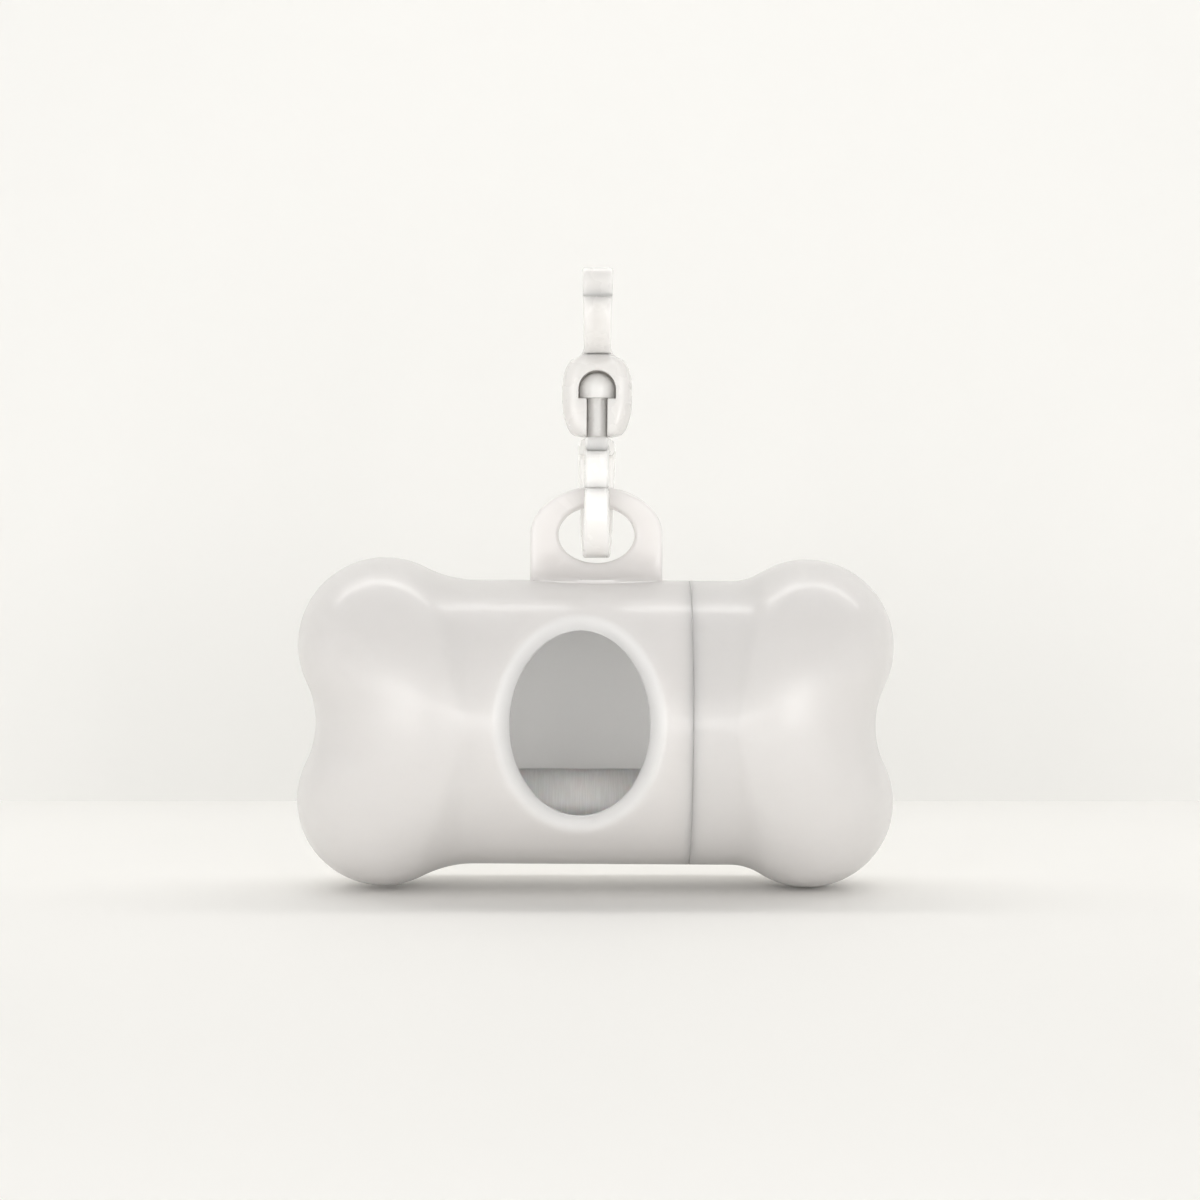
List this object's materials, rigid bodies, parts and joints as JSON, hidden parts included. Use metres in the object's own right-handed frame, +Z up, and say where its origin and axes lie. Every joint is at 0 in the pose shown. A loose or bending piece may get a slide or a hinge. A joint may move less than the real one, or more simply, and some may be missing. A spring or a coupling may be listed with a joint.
{
  "type": "dog waste bag dispenser",
  "caption": "Bone-shaped hollow dispenser with an oval bag window, a pull-off end, a hanging lug and a swivel clip.",
  "frame": {"origin": "centre of the round throat of the upper hook, from which the dispenser hangs", "axes": "+X along the bone towards the pull-off end and along the throat's axis, -Y out of the bag window, +Z up"},
  "size_m": [0.0836, 0.04, 0.0873],
  "materials": {
    "shell_plastic": "satin moulded, off-white",
    "clip_plastic": "smooth moulded, off-white",
    "core_card": "plain board",
    "bag_film": "thin wound film"
  },
  "bodies": {
    "hook": {"snap_hook": "clip_plastic"},
    "gate_of_hook": {"hook_gate": "clip_plastic"},
    "link": {"swivel_link": "clip_plastic"},
    "gate_of_link": {"link_gate": "clip_plastic"},
    "shell": {"main_shell": "shell_plastic"},
    "pull_off_end": {"end_cap": "shell_plastic"},
    "roll": {"roll_core": "core_card", "bag_roll": "bag_film"}
  },
  "joints": [
    {"name": "hook_gate_hinge", "type": "hinge", "parent": "hook", "child": "gate_of_hook", "pos_m": [0, -0.00315, -0.00451], "axis": [1, 0, 0], "range_deg": [-28, 0], "stiffness_Nm_per_rad": 0.04, "springref_deg": 8.59},
    {"name": "swivel_turn", "type": "hinge", "parent": "hook", "child": "link", "pos_m": [0, 0, -0.0105], "axis": [0, 0, 1], "continuous": true},
    {"name": "link_gate_hinge", "type": "hinge", "parent": "link", "child": "gate_of_link", "pos_m": [0, -0.0045, -0.02015], "axis": [1, 0, 0], "range_deg": [0, 35], "stiffness_Nm_per_rad": 0.04, "springref_deg": -8.59},
    {"name": "eye_swing", "type": "hinge", "parent": "link", "child": "shell", "pos_m": [0, 0, -0.02565], "axis": [1, 0, 0], "range_deg": [-80, 80]},
    {"name": "cap_pull", "type": "slide", "parent": "shell", "child": "pull_off_end", "axis": [1, 0, 0], "range_m": [0, 0.04]},
    {"name": "roll_spin", "type": "hinge", "parent": "shell", "child": "roll", "pos_m": [0, 0, -0.06895], "axis": [1, 0, 0], "continuous": true}
  ]
}
